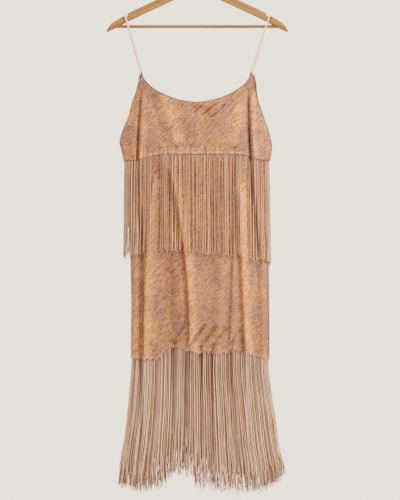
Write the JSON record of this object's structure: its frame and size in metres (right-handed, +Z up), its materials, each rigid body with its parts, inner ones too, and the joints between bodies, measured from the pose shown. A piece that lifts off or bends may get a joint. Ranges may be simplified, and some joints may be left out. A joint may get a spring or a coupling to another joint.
{
  "type": "fringed flapper dress on wooden hanger",
  "caption": "Sleeveless slip dress in crinkled cloth with thin straps, a hip fringe and a long hem fringe, hanging flat from a wooden hanger with a bar.",
  "frame": {"origin": "inside top of the hanger's hook, where a rail carries it", "axes": "+Z up along the hanging dress, the front of the dress faces -Y, +X to the right of a viewer in front"},
  "size_m": [0.44, 0.0901, 1.3284],
  "materials": {
    "crinkle_cloth": "crinkled satin with a soft metallic sheen",
    "fringe_yarn": "soft twisted yarn",
    "strap_cord": "smooth satin cord",
    "wood": "clear satin lacquer",
    "bar_wood": "clear satin lacquer",
    "hook_wire": "bright plated wire"
  },
  "bodies": {
    "root": {"bodice_front": "crinkle_cloth", "bodice_back": "crinkle_cloth", "skirt_front": "crinkle_cloth", "skirt_back": "crinkle_cloth", "upper_fringe_front": "fringe_yarn", "upper_fringe_back": "fringe_yarn", "lower_fringe_front": "fringe_yarn", "lower_fringe_back": "fringe_yarn", "strap_left": "strap_cord", "strap_right": "strap_cord", "hanger_wood": "wood", "hanger_bar": "bar_wood", "hanger_hook": "hook_wire"}
  },
  "joints": []
}
